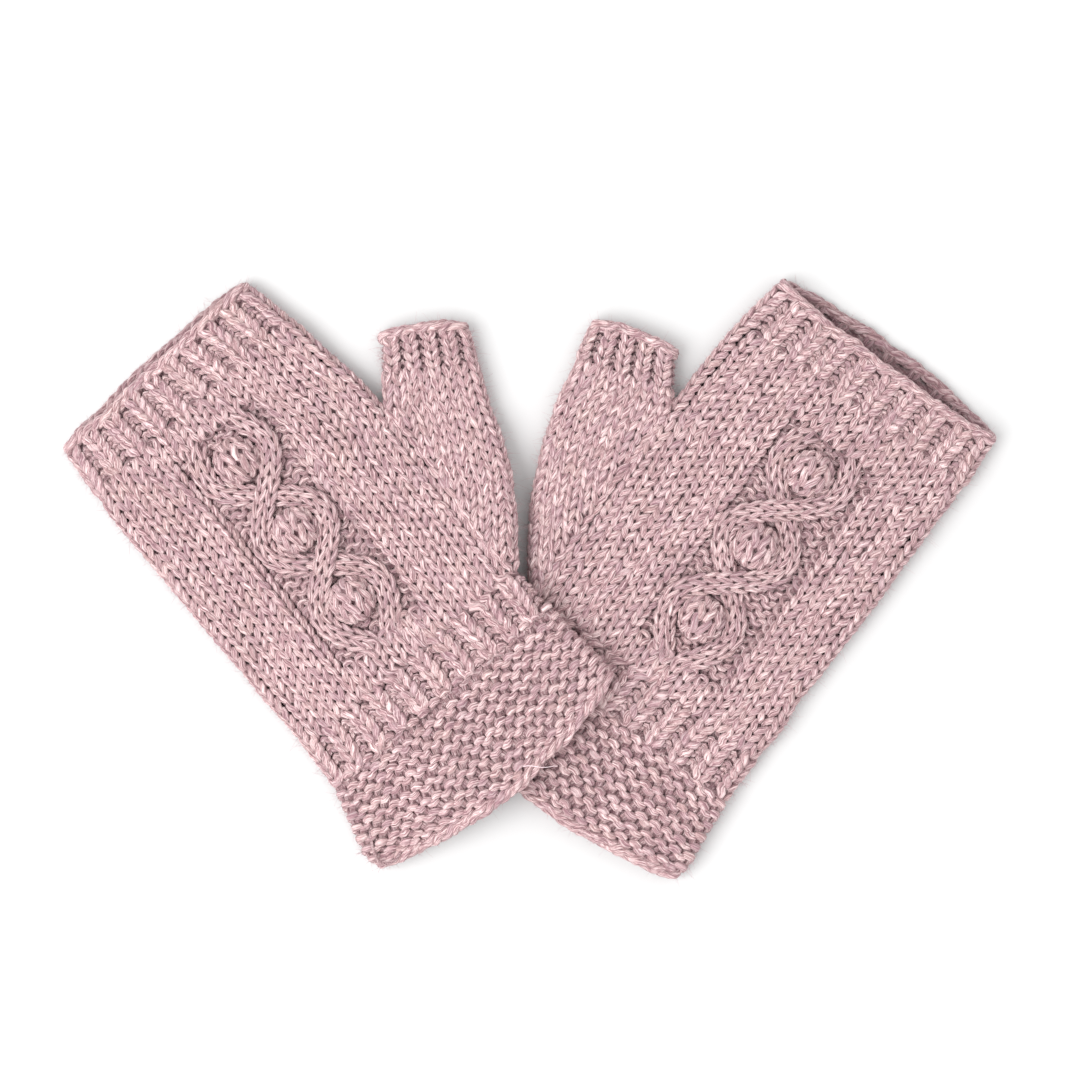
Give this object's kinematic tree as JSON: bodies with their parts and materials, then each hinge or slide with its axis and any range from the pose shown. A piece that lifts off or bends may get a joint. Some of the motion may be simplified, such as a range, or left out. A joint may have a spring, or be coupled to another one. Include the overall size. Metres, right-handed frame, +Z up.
{
  "type": "fingerless gloves",
  "caption": "Pair of hand-knitted fingerless gloves with garter cuffs, crossing cables, round bobbles and short ribbed thumbs, lying one over the other.",
  "frame": {"origin": "middle of the pair's outline, on the surface the pair lies on", "axes": "+X across the pair towards the right glove, +Y towards the finger openings, +Z up from the surface, backs of the hands up"},
  "size_m": [0.3136, 0.1992, 0.021],
  "materials": {
    "dusty_pink_wool": "heathered soft plied wool yarn"
  },
  "bodies": {
    "right_glove": {"right_bind_off_edge_back": "dusty_pink_wool", "right_bind_off_edge_palm": "dusty_pink_wool", "right_bobble_1": "dusty_pink_wool", "right_bobble_2": "dusty_pink_wool", "right_bobble_3": "dusty_pink_wool", "right_cable_strands": "dusty_pink_wool", "right_cast_on_edge_back": "dusty_pink_wool", "right_cast_on_edge_palm": "dusty_pink_wool", "right_garter_cuff_back": "dusty_pink_wool", "right_garter_cuff_palm": "dusty_pink_wool", "right_gusset_side_fold": "dusty_pink_wool", "right_hand_back": "dusty_pink_wool", "right_hand_palm": "dusty_pink_wool", "right_hand_side_fold": "dusty_pink_wool", "right_outer_side_fold": "dusty_pink_wool", "right_thumb_gusset_back": "dusty_pink_wool", "right_thumb_gusset_palm": "dusty_pink_wool", "right_top_rib_back": "dusty_pink_wool", "right_top_rib_palm": "dusty_pink_wool", "right_wrist_rib_back": "dusty_pink_wool", "right_wrist_rib_palm": "dusty_pink_wool", "right_wrist_side_fold": "dusty_pink_wool"},
    "right_thumb": {"right_thumb_bind_off_back": "dusty_pink_wool", "right_thumb_bind_off_palm": "dusty_pink_wool", "right_thumb_inner_fold": "dusty_pink_wool", "right_thumb_outer_fold": "dusty_pink_wool", "right_thumb_rib_back": "dusty_pink_wool", "right_thumb_rib_palm": "dusty_pink_wool", "right_thumb_tube_back": "dusty_pink_wool", "right_thumb_tube_palm": "dusty_pink_wool"},
    "left_glove": {"left_bind_off_edge_back": "dusty_pink_wool", "left_bind_off_edge_palm": "dusty_pink_wool", "left_bobble_1": "dusty_pink_wool", "left_bobble_2": "dusty_pink_wool", "left_bobble_3": "dusty_pink_wool", "left_cable_strands": "dusty_pink_wool", "left_cast_on_edge_back": "dusty_pink_wool", "left_cast_on_edge_palm": "dusty_pink_wool", "left_garter_cuff_back": "dusty_pink_wool", "left_garter_cuff_palm": "dusty_pink_wool", "left_gusset_side_fold": "dusty_pink_wool", "left_hand_back": "dusty_pink_wool", "left_hand_palm": "dusty_pink_wool", "left_hand_side_fold": "dusty_pink_wool", "left_outer_side_fold": "dusty_pink_wool", "left_thumb_gusset_back": "dusty_pink_wool", "left_thumb_gusset_palm": "dusty_pink_wool", "left_top_rib_back": "dusty_pink_wool", "left_top_rib_palm": "dusty_pink_wool", "left_wrist_rib_back": "dusty_pink_wool", "left_wrist_rib_palm": "dusty_pink_wool", "left_wrist_side_fold": "dusty_pink_wool"},
    "left_thumb": {"left_thumb_bind_off_back": "dusty_pink_wool", "left_thumb_bind_off_palm": "dusty_pink_wool", "left_thumb_inner_fold": "dusty_pink_wool", "left_thumb_outer_fold": "dusty_pink_wool", "left_thumb_rib_back": "dusty_pink_wool", "left_thumb_rib_palm": "dusty_pink_wool", "left_thumb_tube_back": "dusty_pink_wool", "left_thumb_tube_palm": "dusty_pink_wool"}
  },
  "joints": [
    {"name": "left_glove_lift", "type": "slide", "parent": "right_glove", "child": "left_glove", "axis": [0, 0, 1], "range_m": [0, 0.1]},
    {"name": "left_thumb_swing", "type": "hinge", "parent": "left_glove", "child": "left_thumb", "pos_m": [-0.04883, 0.05642, 0.0048], "axis": [0, 0, 1], "range_deg": [0, 25]},
    {"name": "right_thumb_swing", "type": "hinge", "parent": "right_glove", "child": "right_thumb", "pos_m": [0.0478, 0.05741, 0.0048], "axis": [0, 0, -1], "range_deg": [0, 25]}
  ]
}
